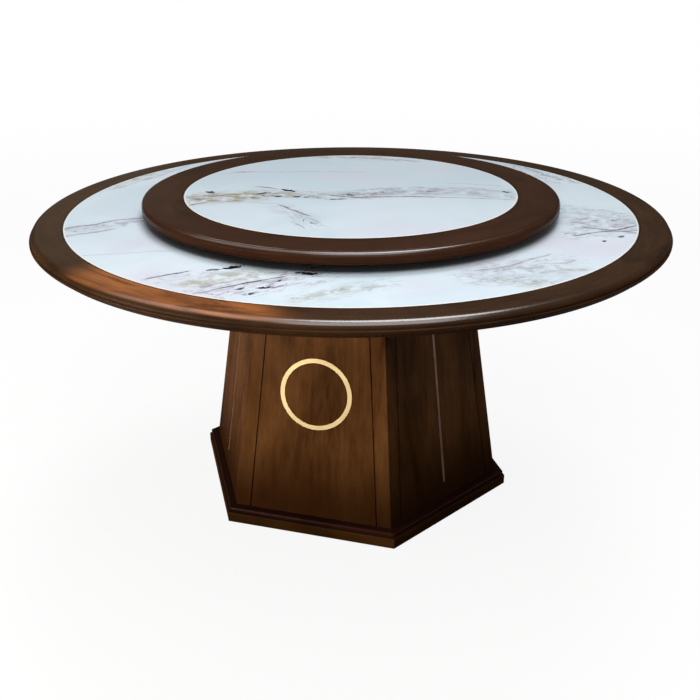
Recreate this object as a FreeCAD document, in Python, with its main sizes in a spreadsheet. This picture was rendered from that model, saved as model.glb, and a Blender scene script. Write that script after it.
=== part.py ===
import FreeCAD, Part
import os
import re
import Sketcher

# Round pedestal dining table with a lazy susan. Millimetres, +Z up, origin on the floor
# below the centre of the top. Every face of the hexagonal pedestal is drawn facing -Y and
# then turned about Z into its place.

SIZES = (
    # the whole table
    ("tableHeight", 760, "floor to the stone of the table top"),
    ("tableRadius", 800, "centre to the edge of the table top"),
    ("pedestalTurn", 13.95, "angle from -Y to the nearest ridge of the pedestal"),
    # table top
    ("rimWidth", 80, "wood round the marble of the table top"),
    ("stoneThickness", 15, "marble disc of the table top"),
    ("stoneChamfer", 1, "polished edge of both marble discs"),
    ("stoneJoint", 1, "joint between either marble disc and its rim"),
    ("coreThickness", 20, "plywood disc under the marble"),
    ("rimLap", 14, "wood of the table rim lying on the core"),
    ("crownRadius", 22, "rounding along the top of the table rim"),
    ("bevelWidth", 2.5, "steep bevel under the rounding, measured inwards"),
    ("bevelDrop", 4, "steep bevel under the rounding, measured down"),
    ("quirkWidth", 4, "ledge under the bevel"),
    ("quirkDrop", 5, "upright wall of the ledge"),
    ("ledgeChamfer", 1.5, "edge of the ledge"),
    ("bandDrop", 19.5, "top of the rim to the lower edge of its widest band"),
    ("coveWidth", 17, "hollow under the band, measured inwards"),
    ("coveDrop", 11.5, "hollow under the band, measured down"),
    ("coveRadius", 28, "radius of the hollow"),
    # lazy susan
    ("susanRadius", 530, "centre to the edge of the lazy susan"),
    ("susanGap", 21, "table top to the underside of the lazy susan"),
    ("susanRimWidth", 105, "wood round the marble of the lazy susan"),
    ("susanStoneThickness", 12, "marble disc of the lazy susan"),
    ("susanCoreThickness", 14, "plywood disc of the lazy susan"),
    ("susanLap", 10, "wood of the lazy susan's rim lying on its core"),
    ("susanStep", 1.2, "small step down to the rounding of the lazy susan's rim"),
    ("susanCrownRadius", 13, "rounding along the top of the lazy susan's rim"),
    ("susanBevelWidth", 2.8, "steep bevel under that rounding, measured inwards"),
    ("susanBevelDrop", 5, "steep bevel under that rounding, measured down"),
    ("susanSideDrop", 22, "top of the lazy susan to the cut in its edge"),
    ("susanCutDepth", 1.2, "V cut above the bottom bead"),
    ("susanCutHeight", 2, "V cut above the bottom bead"),
    # pedestal body
    ("bodyFootRadius", 417.4, "centre to each ridge where the body meets the plinth"),
    ("bodyTopRadius", 307.2, "centre to each ridge at the top of the body"),
    ("wallThickness", 22, "posts and panels"),
    ("postWidth", 36, "face of a corner post on each side of its ridge"),
    ("revealWidth", 3, "groove between post and panel"),
    ("revealDepth", 3, "groove between post and panel"),
    ("braceThickness", 18, "boards inside the body"),
    ("braceHeight", 350, "floor to the middle brace"),
    # inlays
    ("ringRadius", 92.5, "outside of the brass ring"),
    ("ringWidth", 11.2, "brass ring"),
    ("ringThickness", 4, "brass ring"),
    ("ringSeat", 3, "depth of the ring's groove"),
    ("ringFit", 0.1, "play beside the ring in its groove"),
    ("stripWidth", 7, "metal strip"),
    ("stripThickness", 3, "metal strip"),
    ("stripSeat", 2.5, "depth of the strip's groove"),
    ("stripEnd", 59.3, "either end of the face to the strip, up the face"),
    ("stripFit", 0.1, "play round the strip in its groove"),
    # plinth
    ("padThickness", 3, "felt pads under the plinth"),
    ("padWidth", 30, "felt pads under the plinth, square"),
    ("padInset", 40, "inner corner of the plinth to the middle of each pad"),
    ("plinthOverhang", 28.6, "ridges of the body to the corners of the plinth"),
    ("plinthHeight", 27, "plinth boards"),
    ("plinthThickness", 18, "plinth boards"),
    ("plinthChamfer", 2, "chamfer along the plinth's top edge"),
    ("bottomThickness", 18, "board that closes the plinth"),
    ("blockLeg", 130, "corner blocks, along the plinth boards"),
    ("mouldingSetback", 5.2, "plinth face to the front of the moulding"),
    ("mouldingNeck", 4, "plain height under the bead"),
    ("beadRadius", 4.5, "bead of the moulding"),
    # fixing of the top
    ("plateOverhang", 122.8, "ridges of the body to the edge of the mounting plate"),
    ("plateThickness", 18, "mounting plate"),
    ("plateChamfer", 3, "lower edge of the mounting plate"),
    ("boltInset", 50, "edge of the mounting plate to each bolt"),
    ("boltRadius", 4, "bolt shank"),
    ("boltReach", 13, "bolt inside the core"),
    ("boltPlay", 0.5, "round the shank in the mounting plate"),
    ("boltHeadRadius", 7.5, "centre of the hexagon head to its corners"),
    ("boltHeadHeight", 5.3, "hexagon head"),
    ("insertRadius", 6, "threaded insert"),
    ("insertLength", 15, "threaded insert"),
    # turntable bearing
    ("raceRadius", 295, "centre of the turntable to the middle of the balls"),
    ("ballRadius", 3, "balls"),
    ("ballPlay", 0.05, "between a ball and each face of the races"),
    ("raceGap", 2.4, "between the two rings"),
    ("ringSection", 14.8, "width of each bearing ring"),
    ("ringHeight", 14, "height of each bearing ring"),
    ("ringRise", 1.5, "turning ring above the base ring"),
    ("cageThickness", 1.6, "cage between the rings"),
    ("cageHeight", 9, "cage between the rings"),
    ("cagePlay", 0.2, "round each ball in the cage"),
    ("footWidth", 10, "rubber feet of the base ring, across it"),
    ("footLength", 26, "rubber feet of the base ring, along it"),
    ("footSeat", 1, "rubber feet let into the base ring"),
    ("turnScrewRadius", 2, "screws through the turning ring"),
    ("turnScrewHeadRadius", 3.8, "heads of these screws"),
    ("turnScrewHeadHeight", 2.4, "heads of these screws"),
    ("turnScrewPlay", 0.3, "round these screws in the ring"),
    ("turnScrewReach", 8, "these screws inside the lazy susan's core"),
    ("turnScrewInset", 5.2, "inner wall of the turning ring to its screws"),
)

SIDES = 6
BALLS = 8
FASTENERS = 4
CORNER = "cos(30 deg)"
DIAGONAL = "cos(45 deg)"

doc = FreeCAD.newDocument("PedestalTable")
sheet = doc.addObject("Spreadsheet::Sheet", "Sizes")
for row, (alias, number, note) in enumerate(SIZES, start=1):
    sheet.set(f"A{row}", alias)
    sheet.set(f"B{row}", str(number))
    sheet.set(f"C{row}", note)
    sheet.setAlias(f"B{row}", alias)
doc.recompute()

# Levels and radii worked out from the sizes
MADE = {
    "plinthTop": "(padThickness + plinthHeight)",
    "stoneFloor": "(tableHeight - stoneThickness)",
    "coreFloor": "(stoneFloor - coreThickness)",
    "bodyTop": "(coreFloor - plateThickness)",
    "bodyHeight": "(bodyTop - plinthTop)",
    "stoneRadius": "(tableRadius - rimWidth)",
    "coreRadius": "(stoneRadius + rimLap)",
    "footApothem": f"(bodyFootRadius * {CORNER})",
    "topApothem": f"(bodyTopRadius * {CORNER})",
    "lean": "((footApothem - topApothem) / bodyHeight)",
    "tilt": "atan(lean)",
    "slopeLength": "(bodyHeight / cos(tilt))",
    "ringCentre": "(slopeLength / 2)",
    "plinthRadius": "(bodyFootRadius + plinthOverhang)",
    "plinthApothem": f"(plinthRadius * {CORNER})",
    "plinthInside": "(plinthApothem - plinthThickness)",
    "susanFloor": "(tableHeight + susanGap)",
    "susanCoreTop": "(susanFloor + susanCoreThickness)",
    "susanTop": "(susanCoreTop + susanStoneThickness)",
    "susanStoneRadius": "(susanRadius - susanRimWidth)",
    "susanCoreRadius": "(susanStoneRadius + susanLap)",
    "plateRadius": "(bodyTopRadius + plateOverhang)",
    "boltCircle": "(plateRadius - boltInset)",
    "turningFloor": "(susanFloor - ringHeight)",
    "baseFloor": "(turningFloor - ringRise)",
    "ballLevel": "((baseFloor + susanFloor) / 2)",
    "raceDepth": "((ballRadius + ballPlay) * sqrt(2))",
    "turnScrewCircle": "(raceRadius - raceGap / 2 - ringSection + turnScrewInset)",
}
WORD = re.compile(r"[A-Za-z]\w*")
NEAR = 0.01


def spelled_out(match):
    """What one word of a formula stands for: a level or radius from MADE, a cell or itself."""
    word = match.group()
    if word in MADE:
        return WORD.sub(spelled_out, MADE[word])
    return f"Sizes.{word}" if any(word == alias for alias, _, _ in SIZES) else word


def bound(formula):
    """A formula written with the names above, as FreeCAD reads it."""
    return WORD.sub(spelled_out, formula)


def value(formula):
    """The number that a formula gives with the present sizes."""
    number = sheet.evalExpression(bound(formula))
    return float(getattr(number, "Value", number))


def origin_feature(body, role):
    return next(item for item in body.Origin.OriginFeatures if item.Role == role)


def new_body(name):
    body = doc.addObject("PartDesign::Body", name)
    body.Label = name
    return body


def turned(body, steps):
    """Turn a finished body about Z by the pedestal's own angle and so many half sides."""
    body.Placement = FreeCAD.Placement(FreeCAD.Vector(), FreeCAD.Rotation(FreeCAD.Vector(0, 0, 1), 1))
    body.setExpression("Placement.Rotation.Angle", bound(f"pedestalTurn + {steps * 180 / SIDES}"))


def new_sketch(body, name, role, lift="0"):
    """A sketch on an origin plane of the body, moved along the plane's normal by lift."""
    sketch = body.newObject("Sketcher::SketchObject", name)
    sketch.AttachmentSupport = (origin_feature(body, role), [""])
    sketch.MapMode = "FlatFace"
    sketch.setExpression("AttachmentOffset.Base.z", bound(lift))
    return sketch


def face_sketch(body, name, depth="0", aside=0):
    """A sketch on a leaning face of the pedestal: X level, Y up the face from its foot. The face
    looks along -Y, or aside degrees from it towards +X. The plane is sunk into it by depth."""
    sketch = new_sketch(body, name, "XZ_Plane")
    reach = f"(footApothem - ({depth}) * cos(tilt))"
    level = f"plinthTop - ({depth}) * sin(tilt)"
    place = f"vector({reach} * sin({aside} deg); {level}; {reach} * cos({aside} deg))"
    spin = f"rotation(vector(0; 1; 0); {aside}) * rotation(vector(1; 0; 0); -tilt)"
    sketch.setExpression("AttachmentOffset", bound(f"placement({place}; {spin})"))
    return sketch


def pin(sketch, kind, *arguments):
    """Add one dimension, given as a formula, to a sketch."""
    *where, formula = arguments
    index = sketch.addConstraint(Sketcher.Constraint(kind, *where, value(formula)))
    sketch.setExpression(f"Constraints[{index}]", bound(formula))


def outline(sketch, corners, arcs=()):
    """Draw a closed outline through corners given as pairs of formulas. arcs gives, for the number
    of a side, its radius and on which side of the chord its centre lies (1 left, -1 right). A side
    with a radius of None is a half circle, which leaves the chord on the other side."""
    arcs = dict(arcs)
    first = sketch.GeometryCount
    points = [FreeCAD.Vector(value(x), value(y), 0) for x, y in corners]
    ends = points[1:] + points[:1]
    for side, (start, end) in enumerate(zip(points, ends)):
        if side in arcs:
            formula, hand = arcs[side]
            chord = end - start
            radius = chord.Length / 2 if formula is None else value(formula)
            across = FreeCAD.Vector(-chord.y, chord.x, 0).normalize() * hand
            centre = (start + end) / 2 + across * max(radius ** 2 - chord.Length ** 2 / 4, 0) ** 0.5
            sketch.addGeometry(Part.Arc(start, centre - across * radius, end))
        else:
            sketch.addGeometry(Part.LineSegment(start, end))
    near = []
    for side, start in enumerate(points):
        near.append(1 if sketch.getPoint(first + side, 1).distanceToPoint(start) < NEAR else 2)
    for side, (x, y) in enumerate(corners):
        following = (side + 1) % len(corners)
        ends_here = (first + side, 3 - near[side], first + following, near[following])
        sketch.addConstraint(Sketcher.Constraint("Coincident", *ends_here))
        pin(sketch, "DistanceX", -1, 1, first + side, near[side], x)
        pin(sketch, "DistanceY", -1, 1, first + side, near[side], y)
        if side in arcs and arcs[side][0] is None:
            arc = first + side
            sketch.addConstraint(Sketcher.Constraint("Symmetric", arc, 1, arc, 2, arc, 3))
        elif side in arcs:
            pin(sketch, "Radius", first + side, arcs[side][0])


def circle(sketch, x, y, radius):
    centre = FreeCAD.Vector(value(x), value(y), 0)
    number = sketch.addGeometry(Part.Circle(centre, FreeCAD.Vector(0, 0, 1), 1))
    pin(sketch, "DistanceX", -1, 1, number, 3, x)
    pin(sketch, "DistanceY", -1, 1, number, 3, y)
    pin(sketch, "Radius", number, radius)


def round_about(sketch, count, ring, radius):
    """Equal circles, evenly spaced on a ring about the origin."""
    for number in range(count):
        angle = f"{number * 360 / count} deg"
        circle(sketch, f"({ring}) * cos({angle})", f"({ring}) * sin({angle})", radius)


def pad(sketch, length, midplane=False, inwards=False):
    feature = sketch.getParentGeoFeatureGroup().newObject("PartDesign::Pad", sketch.Name + "Pad")
    feature.Profile = sketch
    feature.setExpression("Length", bound(length))
    feature.Midplane = midplane
    feature.Reversed = inwards
    return feature


def pocket(sketch, depth=None):
    """Cut against the sketch's normal, to a depth, or both ways through everything."""
    feature = sketch.getParentGeoFeatureGroup().newObject("PartDesign::Pocket", sketch.Name + "Pocket")
    feature.Profile = sketch
    if depth is None:
        feature.Type = "ThroughAll"
        feature.Midplane = True
    else:
        feature.setExpression("Length", bound(depth))
    return feature


def turn(sketch, axis="V_Axis"):
    """Turn a sketch all the way round the Z axis, or round a side of its own."""
    body = sketch.getParentGeoFeatureGroup()
    feature = body.newObject("PartDesign::Revolution", sketch.Name + "Turned")
    feature.Profile = sketch
    feature.ReferenceAxis = (sketch, [axis])
    feature.Angle = 360
    return feature


def loft(foot, head):
    feature = foot.getParentGeoFeatureGroup().newObject("PartDesign::AdditiveLoft", foot.Name + "Loft")
    feature.Profile = foot
    feature.Sections = [head]
    feature.Ruled = True
    return feature


def repeat(feature, count):
    """Copy a feature evenly round the Z axis."""
    body = feature.getParentGeoFeatureGroup()
    doc.recompute()
    pattern = body.newObject("PartDesign::PolarPattern", feature.Name + "Round")
    pattern.Originals = [feature]
    pattern.Axis = (origin_feature(body, "Z_Axis"), [""])
    pattern.Angle = 360
    pattern.Occurrences = count
    body.Tip = pattern
    return pattern


def chamfer_edges(body, size, wanted):
    """Chamfer the edges of the body's tip that the test picks out."""
    doc.recompute()
    base = body.Tip
    edges = [f"Edge{number}" for number, edge in enumerate(base.Shape.Edges, start=1) if wanted(edge)]
    feature = body.newObject("PartDesign::Chamfer", base.Name + "Chamfer")
    feature.Base = (base, edges)
    feature.setExpression("Size", bound(size))
    return feature


def lies_at(level, radius=None):
    """A test for edges at one level and, for round ones, of one radius."""
    def wanted(edge):
        box = edge.BoundBox
        flat = abs(box.ZMin - value(level)) < NEAR and abs(box.ZMax - value(level)) < NEAR
        if radius is None:
            return flat
        return flat and hasattr(edge.Curve, "Radius") and abs(edge.Curve.Radius - value(radius)) < NEAR
    return wanted


def disc(name, radius, floor, thickness):
    body = new_body(name)
    sketch = new_sketch(body, name + "Disc", "XY_Plane", floor)
    circle(sketch, "0", "0", radius)
    pad(sketch, thickness)
    return body


def hexagon(sketch, radius):
    """A hexagon with one side facing -Y, radius from its centre to its corners."""
    half, flat = f"{radius} / 2", f"{radius} * {CORNER}"
    corners = [(f"-{half}", f"-{flat}"), (half, f"-{flat}"), (radius, "0")]
    corners += [(half, flat), (f"-{half}", flat), (f"-{radius}", "0")]
    outline(sketch, corners)


def wall_radius(level):
    """Centre to the pedestal's outer ridge at a level."""
    return f"(bodyFootRadius - lean / {CORNER} * ({level} - plinthTop))"


def inner_hexagon(name, floor, thickness):
    """A board that fits inside the body's walls, its edges leaning with them."""
    body = new_body(name)
    sketches = []
    for level, part in ((floor, "Foot"), (f"{floor} + {thickness}", "Head")):
        sketch = new_sketch(body, name + part, "XY_Plane", level)
        hexagon(sketch, f"({wall_radius(level)} - wallThickness / cos(tilt) / {CORNER})")
        sketches.append(sketch)
    loft(*sketches)
    turned(body, -1)
    return body


# ---------------------------------------------------------------- plinth

def floor_pads():
    """A square felt pad under each corner block."""
    body = new_body("floor_pads")
    sketch = new_sketch(body, "FloorPad", "XY_Plane")
    far = f"-(plinthInside / {CORNER} - padInset)"
    half = "padWidth / 2"
    corners = [(f"-{half}", f"{far} - {half}"), (half, f"{far} - {half}")]
    corners += [(half, f"{far} + {half}"), (f"-{half}", f"{far} + {half}")]
    outline(sketch, corners)
    repeat(pad(sketch, "padThickness"), SIDES)
    turned(body, 0)


def corner_block(number):
    """A glue block in the corner of the plinth, under the bottom board."""
    body = new_body(f"corner_block_{number + 1}")
    sketch = new_sketch(body, f"CornerBlock{number + 1}", "XY_Plane", "padThickness")
    corner = f"(plinthInside / {CORNER})"
    side = f"blockLeg * {CORNER}"
    depth = f"-({corner} - blockLeg / 2)"
    outline(sketch, [("0", f"-{corner}"), (side, depth), (f"-{side}", depth)])
    pad(sketch, "plinthHeight - bottomThickness")
    turned(body, 2 * number)


def plinth_board(number):
    """One mitred board of the plinth, its top edge eased."""
    body = new_body(f"plinth_board_{number + 1}")
    sketch = new_sketch(body, f"PlinthBoard{number + 1}", "XY_Plane", "padThickness")
    outer, inner = "plinthRadius / 2", f"plinthInside / {CORNER} / 2"
    corners = [(f"-{outer}", "-plinthApothem"), (outer, "-plinthApothem")]
    corners += [(inner, "-plinthInside"), (f"-{inner}", "-plinthInside")]
    outline(sketch, corners)
    pad(sketch, "plinthHeight")
    on_top = lies_at("plinthTop")

    def on_top_in_front(edge):
        return on_top(edge) and abs(edge.BoundBox.YMax + value("plinthApothem")) < NEAR

    chamfer_edges(body, "plinthChamfer", on_top_in_front)
    turned(body, 2 * number - 1)


def bottom_board():
    body = new_body("bottom_board")
    sketch = new_sketch(body, "BottomBoard", "XY_Plane", "plinthTop - bottomThickness")
    hexagon(sketch, f"(plinthInside / {CORNER})")
    pad(sketch, "bottomThickness")
    turned(body, -1)


def plinth_moulding(number):
    """One mitred length of the moulding round the foot of the body: a neck and a bead, its back
    leaning with the body."""
    body = new_body(f"plinth_moulding_{number + 1}")
    front = "-(plinthApothem - mouldingSetback - beadRadius)"
    neck_top = "plinthTop + mouldingNeck"
    top = f"({neck_top} + 2 * beadRadius)"
    profile = new_sketch(body, f"MouldingProfile{number + 1}", "YZ_Plane")
    corners = [("-footApothem", "plinthTop"), (front, "plinthTop"), (front, neck_top), (front, top)]
    corners += [(f"-footApothem + lean * ({top} - plinthTop)", top)]
    outline(profile, corners, arcs={2: (None, -1)})
    pad(profile, "2 * plinthRadius", midplane=True)
    mitres = new_sketch(body, f"MouldingMitres{number + 1}", "XY_Plane", top)
    for hand in ("", "-"):
        shallow, deep = f"{hand}(bodyFootRadius / 4)", f"{hand}(plinthRadius / 2)"
        far = f"{hand}(plinthRadius * 1.1)"
        near_line, far_line = f"-bodyFootRadius * {CORNER} / 2", "-plinthApothem"
        outline(mitres, [(shallow, near_line), (far, near_line), (far, far_line), (deep, far_line)])
    pocket(mitres)
    turned(body, 2 * number - 1)


# ---------------------------------------------------------------- pedestal body

def along_edge(inset, hand):
    """Two points on a line beside the edge of a face, past its foot and past its head."""
    points = []
    for up in ("-wallThickness", "(slopeLength + wallThickness)"):
        edge = f"bodyFootRadius / 2 - ({up}) * (bodyFootRadius - bodyTopRadius) / 2 / slopeLength"
        points.append((f"{hand}({edge} - ({inset}))", up))
    return points


def level_ends(body, name):
    """Cut a leaning piece off level at the foot and the head of the body."""
    sketch = new_sketch(body, name, "XZ_Plane")
    side = "bodyFootRadius"
    for low, high in (("-wallThickness", "plinthTop"), ("bodyTop", "bodyTop + 2 * wallThickness")):
        outline(sketch, [(f"-{side}", low), (side, low), (side, high), (f"-{side}", high)])
    pocket(sketch)


def corner_post(number):
    """A post that is one ridge of the body: a leaf on each side of the ridge, in one piece."""
    name = f"corner_post_{number + 1}"
    body = new_body(name)
    for aside, hand in ((30, "-"), (-30, "")):
        leaf = face_sketch(body, f"{name}Leaf", aside=aside)
        outline(leaf, along_edge("0", hand) + along_edge("postWidth", hand)[::-1])
        pad(leaf, "wallThickness", inwards=True)
    level_ends(body, f"{name}Ends")
    turned(body, 2 * number)


def face_panel(name, number):
    """A panel between two posts, with a reveal groove along both of them."""
    body = new_body(name)
    sheet_outline = face_sketch(body, f"{name}Sheet")
    outline(sheet_outline, along_edge("postWidth", "-") + along_edge("postWidth", "")[::-1])
    pad(sheet_outline, "wallThickness", inwards=True)
    level_ends(body, f"{name}Ends")
    reveals = face_sketch(body, f"{name}Reveals")
    for hand in ("", "-"):
        far_side = along_edge("postWidth + revealWidth", hand)[::-1]
        outline(reveals, along_edge("postWidth", hand) + far_side)
    pocket(reveals, "revealDepth")
    turned(body, 2 * number - 1)
    return body


def ring_panel(number):
    name = f"ring_panel_{number // 2 + 1}"
    body = face_panel(name, number)
    groove = face_sketch(body, f"{name}Groove")
    circle(groove, "0", "ringCentre", "ringRadius + ringFit")
    circle(groove, "0", "ringCentre", "ringRadius - ringWidth - ringFit")
    pocket(groove, "ringSeat")


def brass_ring(number):
    body = new_body(f"brass_ring_{number // 2 + 1}")
    sketch = face_sketch(body, f"BrassRing{number // 2 + 1}", "ringSeat")
    circle(sketch, "0", "ringCentre", "ringRadius")
    circle(sketch, "0", "ringCentre", "ringRadius - ringWidth")
    pad(sketch, "ringThickness")
    turned(body, 2 * number - 1)


def strip_corners(play):
    half = f"(stripWidth / 2 + {play})"
    low, high = f"(stripEnd - {play})", f"(slopeLength - stripEnd + {play})"
    return [(f"-{half}", low), (half, low), (half, high), (f"-{half}", high)]


def strip_panel(number):
    name = f"strip_panel_{number // 2 + 1}"
    body = face_panel(name, number)
    groove = face_sketch(body, f"{name}Groove")
    outline(groove, strip_corners("stripFit"))
    pocket(groove, "stripSeat")


def metal_strip(number):
    body = new_body(f"metal_strip_{number // 2 + 1}")
    sketch = face_sketch(body, f"MetalStrip{number // 2 + 1}", "stripSeat")
    outline(sketch, strip_corners("0"))
    pad(sketch, "stripThickness")
    turned(body, 2 * number - 1)


# ---------------------------------------------------------------- fixing of the top

def mounting_plate():
    """The round plate that carries the top, drilled for the bolts outside the body."""
    body = disc("mounting_plate", "plateRadius", "bodyTop", "plateThickness")
    chamfer_edges(body, "plateChamfer", lies_at("bodyTop", "plateRadius"))
    holes = new_sketch(body, "BoltHoles", "XY_Plane", "coreFloor")
    round_about(holes, FASTENERS, "boltCircle", "boltRadius + boltPlay")
    pocket(holes, "plateThickness")


def top_bolts():
    """Hexagon bolts up through the mounting plate into the inserts."""
    body = new_body("top_bolts")
    heads = new_sketch(body, "BoltHeads", "XY_Plane", "bodyTop - boltHeadHeight")
    corners = []
    for corner in range(6):
        angle = f"{corner * 60} deg"
        corners.append((f"boltCircle + boltHeadRadius * cos({angle})", f"boltHeadRadius * sin({angle})"))
    outline(heads, corners)
    repeat(pad(heads, "boltHeadHeight"), FASTENERS)
    shanks = new_sketch(body, "BoltShanks", "XY_Plane", "bodyTop")
    round_about(shanks, FASTENERS, "boltCircle", "boltRadius")
    body.Tip = pad(shanks, "plateThickness + boltReach")


def threaded_inserts():
    body = new_body("threaded_inserts")
    sketch = new_sketch(body, "Inserts", "XY_Plane", "coreFloor")
    round_about(sketch, FASTENERS, "boltCircle", "insertRadius")
    round_about(sketch, FASTENERS, "boltCircle", "boltRadius")
    pad(sketch, "insertLength")


# ---------------------------------------------------------------- table top

def table_core():
    """The plywood disc under the marble, bored for the inserts."""
    body = disc("table_core", "coreRadius", "coreFloor", "coreThickness")
    holes = new_sketch(body, "InsertHoles", "XY_Plane", "coreFloor + insertLength")
    round_about(holes, FASTENERS, "boltCircle", "insertRadius")
    pocket(holes, "insertLength")


def table_rim():
    """The walnut ring: a lap over the core's edge, a rounded crown, a ledge, a flat band and a
    hollow underneath."""
    body = new_body("table_rim")
    sketch = new_sketch(body, "TableRim", "XZ_Plane")
    edge = "tableRadius - quirkWidth"
    crown_foot = f"tableHeight - crownRadius * (1 - {DIAGONAL})"
    ledge = f"({crown_foot} - bevelDrop - quirkDrop)"
    corners = [
        ("stoneRadius + stoneJoint", "tableHeight"),
        ("stoneRadius + stoneJoint", "stoneFloor"),
        ("coreRadius", "stoneFloor"),
        ("coreRadius", "coreFloor"),
        ("tableRadius - coveWidth", "coreFloor"),
        ("tableRadius - coveWidth", "tableHeight - bandDrop - coveDrop"),
        ("tableRadius", "tableHeight - bandDrop"),
        ("tableRadius", f"{ledge} - ledgeChamfer"),
        ("tableRadius - ledgeChamfer", ledge),
        (edge, ledge),
        (edge, f"{ledge} + quirkDrop"),
        (f"{edge} - bevelWidth", crown_foot),
        (f"{edge} - bevelWidth - crownRadius * {DIAGONAL}", "tableHeight"),
    ]
    outline(sketch, corners, arcs={5: ("coveRadius", -1), 11: ("crownRadius", 1)})
    turn(sketch)


def stone_disc(name, radius, floor, thickness):
    body = disc(name, radius, floor, thickness)
    chamfer_edges(body, "stoneChamfer", lies_at(f"{floor} + {thickness}", radius))


# ---------------------------------------------------------------- turntable bearing

def race_ring(name, floor, side):
    """A flat ring with a V race for the balls in the wall that faces the other ring; side is -1
    for the inner ring and 1 for the outer one."""
    body = new_body(name)
    sketch = new_sketch(body, name + "Section", "XZ_Plane")
    wall = f"raceRadius + {side} * raceGap / 2"
    far = f"raceRadius + {side} * (raceGap / 2 + ringSection)"
    mouth = "(raceDepth - raceGap / 2)"
    corners = [
        (wall, floor),
        (wall, f"ballLevel - {mouth}"),
        (f"raceRadius + {side} * raceDepth", "ballLevel"),
        (wall, f"ballLevel + {mouth}"),
        (wall, f"{floor} + ringHeight"),
        (far, f"{floor} + ringHeight"),
        (far, floor),
    ]
    outline(sketch, corners)
    turn(sketch)
    return body


def foot_outline(sketch):
    """One foot of the base ring, on the ring's middle line at +X."""
    middle = "(raceRadius + (raceGap + ringSection) / 2)"
    inner, outer = f"{middle} - footWidth / 2", f"{middle} + footWidth / 2"
    half = "footLength / 2"
    outline(sketch, [(inner, f"-{half}"), (outer, f"-{half}"), (outer, half), (inner, half)])


def bearing_base_ring():
    body = race_ring("bearing_base_ring", "baseFloor", 1)
    seats = new_sketch(body, "FootSeat", "XY_Plane", "baseFloor + footSeat")
    foot_outline(seats)
    repeat(pocket(seats, "footSeat"), SIDES)


def bearing_feet():
    """Rubber blocks let into the base ring, which stand on the marble."""
    body = new_body("bearing_feet")
    sketch = new_sketch(body, "BearingFoot", "XY_Plane", "tableHeight")
    foot_outline(sketch)
    repeat(pad(sketch, "baseFloor - tableHeight + footSeat"), SIDES)


def bearing_turning_ring():
    body = race_ring("bearing_turning_ring", "turningFloor", -1)
    holes = new_sketch(body, "TurningRingHoles", "XY_Plane", "susanFloor")
    round_about(holes, FASTENERS, "turnScrewCircle", "turnScrewRadius + turnScrewPlay")
    pocket(holes, "ringHeight")


def ring_screws():
    """Pan-head screws that hold the turning ring under the lazy susan."""
    body = new_body("ring_screws")
    heads = new_sketch(body, "RingScrewHeads", "XY_Plane", "turningFloor - turnScrewHeadHeight")
    round_about(heads, FASTENERS, "turnScrewCircle", "turnScrewHeadRadius")
    pad(heads, "turnScrewHeadHeight")
    shanks = new_sketch(body, "RingScrewShanks", "XY_Plane", "turningFloor")
    round_about(shanks, FASTENERS, "turnScrewCircle", "turnScrewRadius")
    pad(shanks, "ringHeight + turnScrewReach")


def ball_cage():
    """A thin band between the two rings, with a square window for each ball."""
    body = new_body("ball_cage")
    band = new_sketch(body, "CageBand", "XY_Plane", "ballLevel - cageHeight / 2")
    circle(band, "0", "0", "raceRadius + cageThickness / 2")
    circle(band, "0", "0", "raceRadius - cageThickness / 2")
    pad(band, "cageHeight")
    half = "(ballRadius + cagePlay)"
    window = new_sketch(body, "CageWindow", "XY_Plane", f"ballLevel + {half}")
    inner, outer = "raceRadius - cageThickness", "raceRadius + cageThickness"
    outline(window, [(inner, f"-{half}"), (outer, f"-{half}"), (outer, half), (inner, half)])
    repeat(pocket(window, f"2 * {half}"), BALLS)


def bearing_balls():
    body = new_body("bearing_balls")
    sketch = new_sketch(body, "Ball", "XZ_Plane")
    low, high = "ballLevel - ballRadius", "ballLevel + ballRadius"
    outline(sketch, [("raceRadius", low), ("raceRadius", high)], arcs={0: (None, 1)})
    repeat(turn(sketch, axis="Edge2"), BALLS)


# ---------------------------------------------------------------- lazy susan

def susan_core():
    body = disc("susan_core", "susanCoreRadius", "susanFloor", "susanCoreThickness")
    holes = new_sketch(body, "TurningScrewHoles", "XY_Plane", "susanFloor + turnScrewReach")
    round_about(holes, FASTENERS, "turnScrewCircle", "turnScrewRadius")
    pocket(holes, "turnScrewReach")


def susan_rim():
    """The lazy susan's walnut ring: a rounded crown with a small step, and a V cut above a bead."""
    body = new_body("susan_rim")
    sketch = new_sketch(body, "SusanRim", "XZ_Plane")
    edge = "susanRadius - susanBevelWidth"
    step = "susanTop - susanStep"
    crown_foot = f"{step} - susanCrownRadius * (1 - {DIAGONAL})"
    corners = [
        ("susanStoneRadius + stoneJoint", "susanTop"),
        ("susanStoneRadius + stoneJoint", "susanCoreTop"),
        ("susanCoreRadius", "susanCoreTop"),
        ("susanCoreRadius", "susanFloor"),
        ("susanRadius", "susanFloor"),
        ("susanRadius", "susanTop - susanSideDrop - susanCutHeight"),
        ("susanRadius - susanCutDepth", "susanTop - susanSideDrop - susanCutHeight / 2"),
        ("susanRadius", "susanTop - susanSideDrop"),
        ("susanRadius", f"{crown_foot} - susanBevelDrop"),
        (edge, crown_foot),
        (f"{edge} - susanCrownRadius * {DIAGONAL}", step),
        (f"{edge} - susanCrownRadius * {DIAGONAL}", "susanTop"),
    ]
    outline(sketch, corners, arcs={9: ("susanCrownRadius", 1)})
    turn(sketch)


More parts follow.
